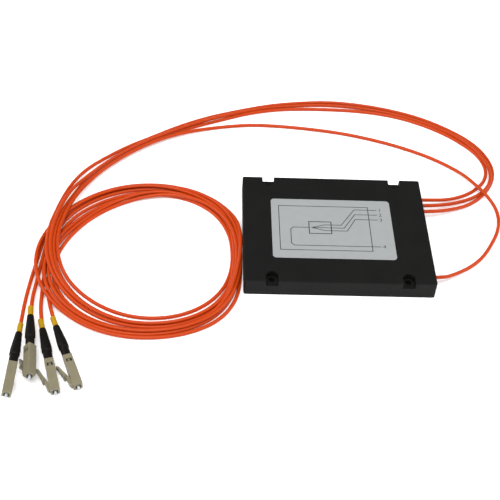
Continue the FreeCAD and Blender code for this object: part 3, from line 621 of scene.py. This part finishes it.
def nylon_buffer():
    # Extruded nylon over the bare fibre: milky white and smooth
    material, place = new_material("Nylon buffer, extruded, white")
    cloud = noise(material, place, 2 * MM, 2)
    return finish(
        material, {"IOR": 1.53},
        {"Base Color": blend_of(material, cloud, "#E4E2D8", "#EEECE4"),
         "Roughness": spread(material, cloud, 0.3, 0.42)})


FINISHES = {
    "box": abs_spark_textured(),
    "label": polyester_label(),
    "ink": printing_ink(),
    "cord": pvc_jacket(),
    "housing": moulded_polyester(),
    "ferrule": zirconia(),
    "boot": elastomer_boot(),
    "sleeve": shrunk_sleeve(),
    "coupler": drawn_metal("Stainless steel tube, drawn", "#9C9EA0", "#B4B6B8", 0.25, 0.4),
    "anchor": drawn_metal("Brass, turned", "#B89A50", "#CDB068", 0.28, 0.42),
    "holder": drawn_metal("Stainless steel, turned", "#A0A1A3", "#B8B9BB", 0.2, 0.35),
    "spring": drawn_metal("Spring steel wire, drawn", "#8C8E90", "#A6A8AA", 0.25, 0.4),
    # the core's darker, browner colour is painted shade for the windows' recesses
    "rear_body": core_with_painted_shade(),
    "crimp_ring": drawn_metal("Nickel-plated copper, crimped", "#A6A5A0", "#B9B8B2", 0.25, 0.42),
    "pad": foam_pad(),
    "buffer": nylon_buffer(),
}


def dress_nodes():
    """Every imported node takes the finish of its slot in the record."""
    for part in frame["record"]["subparts"]:
        piece = nodes[part["node"]]
        for slot in piece.material_slots:
            slot.material = FINISHES[part["material_slot"]]


dress_nodes()
for cord in cords.values():
    cord.data.materials.append(FINISHES["cord"])


# Label print: a thin frame, leaders to the ports and a plain diagram of one port split in three

LABEL_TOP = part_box("label")[1][2]
INK_HEIGHT = 0.00002
LINE, BOLD_LINE = 0.0004, 0.0005
FRAME_LEFT, FRAME_RIGHT = -0.0305, 0.0185
FRAME_LOW, FRAME_HIGH = -0.017, 0.0166
OUTPUT_ROWS = (0.0145, 0.0107, 0.0069)
INPUT_ROW = -0.0136
LEADER_END = 0.0231
NUMERAL_LEFT, NUMERAL_SIZE = 0.0242, 0.0034
SYMBOL_LEFT, SYMBOL_RIGHT, SYMBOL_HALF = -0.0145, -0.0025, 0.0045
SYMBOL_PITCH = 0.0022
FORK_START, FORK_END = -0.013, -0.006
LOOP_LEFT, LOOP_CUT = -0.0245, 0.0015
FAN_START, FAN_STEP, FAN_END = 0.003, 0.0015, 0.011


def new_piece(name, mesh, finish_name):
    """A piece of the module itself, in that material slot and with that finish."""
    mesh.materials.clear()
    mesh.materials.append(FINISHES[finish_name])
    piece = bpy.data.objects.new(name, mesh)
    scene.collection.objects.link(piece)
    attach(piece, "module")
    return piece


def mesh_of(data):
    """The mesh that a curve or text makes."""
    maker = bpy.data.objects.new("maker", data)
    scene.collection.objects.link(maker)
    bpy.context.view_layer.update()
    shaped = maker.evaluated_get(bpy.context.evaluated_depsgraph_get())
    mesh = bpy.data.meshes.new_from_object(shaped)
    bpy.data.objects.remove(maker)
    return mesh


def strip(mesh, start, end, width):
    """A flat line of ink between two places on the label."""
    start, end = Vector(start), Vector(end)
    run = end - start
    centre = (start + end) / 2
    turn = Matrix.Rotation(math.atan2(run.y, run.x), 4, "Z")
    shape = Matrix.Diagonal((run.length + width, width, INK_HEIGHT, 1))
    place = Matrix.Translation((centre.x, centre.y, LABEL_TOP + INK_HEIGHT / 2))
    bmesh.ops.create_cube(mesh, size=1, matrix=place @ turn @ shape)


def chain(mesh, corners, width):
    for start, end in zip(corners, corners[1:]):
        strip(mesh, start, end, width)


def frame_line(mesh, left, right, low, high, width):
    chain(mesh, [(left, low), (right, low), (right, high), (left, high), (left, low)], width)


def print_label():
    mesh = bmesh.new()
    frame_line(mesh, FRAME_LEFT, FRAME_RIGHT, FRAME_LOW, FRAME_HIGH, LINE)
    for row in OUTPUT_ROWS + (INPUT_ROW,):
        strip(mesh, (FRAME_RIGHT, row), (LEADER_END, row), LINE)
    frame_line(mesh, SYMBOL_LEFT, SYMBOL_RIGHT, -SYMBOL_HALF, SYMBOL_HALF, BOLD_LINE)
    chain(mesh, [
        (FRAME_RIGHT, INPUT_ROW), (LOOP_LEFT + LOOP_CUT, INPUT_ROW),
        (LOOP_LEFT, INPUT_ROW + LOOP_CUT), (LOOP_LEFT, -LOOP_CUT), (LOOP_LEFT + LOOP_CUT, 0),
        (SYMBOL_LEFT, 0)], LINE)
    for number, row in enumerate(OUTPUT_ROWS):
        leave = SYMBOL_PITCH * (1 - number)
        chain(mesh, [(FORK_START, 0), (FORK_END, leave), (SYMBOL_RIGHT, leave)], LINE)
        chain(mesh, [
            (SYMBOL_RIGHT, leave), (FAN_START + FAN_STEP * number, leave), (FAN_END, row),
            (FRAME_RIGHT, row)], LINE)
    data = bpy.data.meshes.new("label_print")
    mesh.to_mesh(data)
    mesh.free()
    new_piece("label_print", data, "ink")


def port_number(text, row):
    """A numeral beside its leader."""
    font = bpy.data.curves.new("numeral_" + text, "FONT")
    font.body = text
    font.size = NUMERAL_SIZE
    font.align_x = "LEFT"
    font.align_y = "CENTER"
    data = mesh_of(font)
    data.transform(Matrix.Translation((NUMERAL_LEFT, row, LABEL_TOP + INK_HEIGHT)))
    new_piece("port_number_" + text, data, "ink")


print_label()
for text, row in zip("1234", OUTPUT_ROWS + (INPUT_ROW,)):
    port_number(text, row)


# Springs inside the plugs: wound wire where the solid is a plain sleeve

SPRING_FRONT, SPRING_BACK = 0.0095, 0.0135
SPRING_REACH = 0.00125
WIRE = 0.0002
SPRING_TURNS = 6
TURN_POINTS = 12
SPIRAL_SHARE = 1.03  # a spline cuts inside its points, so they lie further out
WIRE_STEPS, WIRE_SIDES = 2, 2


def wind_spring(name):
    front = Vector(plug_axis_point(name, SPRING_FRONT + WIRE))
    back = Vector(plug_axis_point(name, SPRING_BACK - WIRE))
    along = (back - front).normalized()
    aside = along.cross(Vector((0, 0, 1))).normalized()
    up = along.cross(aside)
    points = []
    for number in range(SPRING_TURNS * TURN_POINTS + 1):
        share = number / (SPRING_TURNS * TURN_POINTS)
        turn = math.tau * SPRING_TURNS * share
        points.append(front.lerp(back, share) + SPRING_REACH * SPIRAL_SHARE * (
            math.cos(turn) * aside + math.sin(turn) * up))
    curve = smooth_curve("spring_wire_" + name, points, WIRE_STEPS)
    curve.bevel_depth = WIRE
    curve.bevel_resolution = WIRE_SIDES
    spring = new_piece("wound_spring_" + name, mesh_of(curve), "spring")
    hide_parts("spring_" + name)
    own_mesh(spring)


for name in CORDS:
    wind_spring(name)


# Floor and light

FLOOR_REACH = 12
# Name, place, width and power. Big soft boxes stand over the camera and at both sides, and
# little light comes from behind, so that the black roof stays black
LIGHTS = (
    ("over_camera", (-0.15, -0.5, 1.4), 1.1, 24),
    ("left_side", (-1.3, 0.1, 0.9), 0.9, 12),
    ("right_side", (1.25, 0.1, 0.9), 0.9, 10),
)
LIGHT_AIM = (-0.03, 0, 0)
ROOM_LIGHT = 0.25


def paper():
    # White paper, matt, lit a little from below as on a product table, so that gaps and
    # shadows stay pale
    material, place = new_material("White paper sweep")
    cloud = noise(material, place, 0.2, 2)
    return finish(
        material,
        {"Roughness": 0.9, "Specular IOR Level": 0.1, "Emission Color": linear("#FFFFFF"),
         "Emission Strength": 0.25},
        {"Base Color": blend_of(material, cloud, "#F6F6F6", "#F9F9F9")})


def lay_floor():
    mesh = bmesh.new()
    bmesh.ops.create_grid(mesh, x_segments=1, y_segments=1, size=FLOOR_REACH)
    data = bpy.data.meshes.new("floor")
    mesh.to_mesh(data)
    mesh.free()
    data.materials.append(paper())
    floor = bpy.data.objects.new("floor", data)
    scene.collection.objects.link(floor)


def soft_light(name, place, width, power):
    data = bpy.data.lights.new(name, "AREA")
    data.shape = "SQUARE"
    data.size = width
    data.energy = power
    lamp = bpy.data.objects.new(name, data)
    place = Vector(place)
    turn = (Vector(LIGHT_AIM) - place).to_track_quat("-Z", "Y").to_matrix().to_4x4()
    lamp.matrix_world = Matrix.Translation(place) @ turn
    scene.collection.objects.link(lamp)


def light_room():
    world = bpy.data.worlds.new("studio")
    world.use_nodes = True
    background = world.node_tree.nodes["Background"]
    background.inputs["Color"].default_value = (1, 1, 1, 1)
    background.inputs["Strength"].default_value = ROOM_LIGHT
    scene.world = world
    scene.view_settings.view_transform = "Standard"


lay_floor()
for light in LIGHTS:
    soft_light(*light)
light_room()
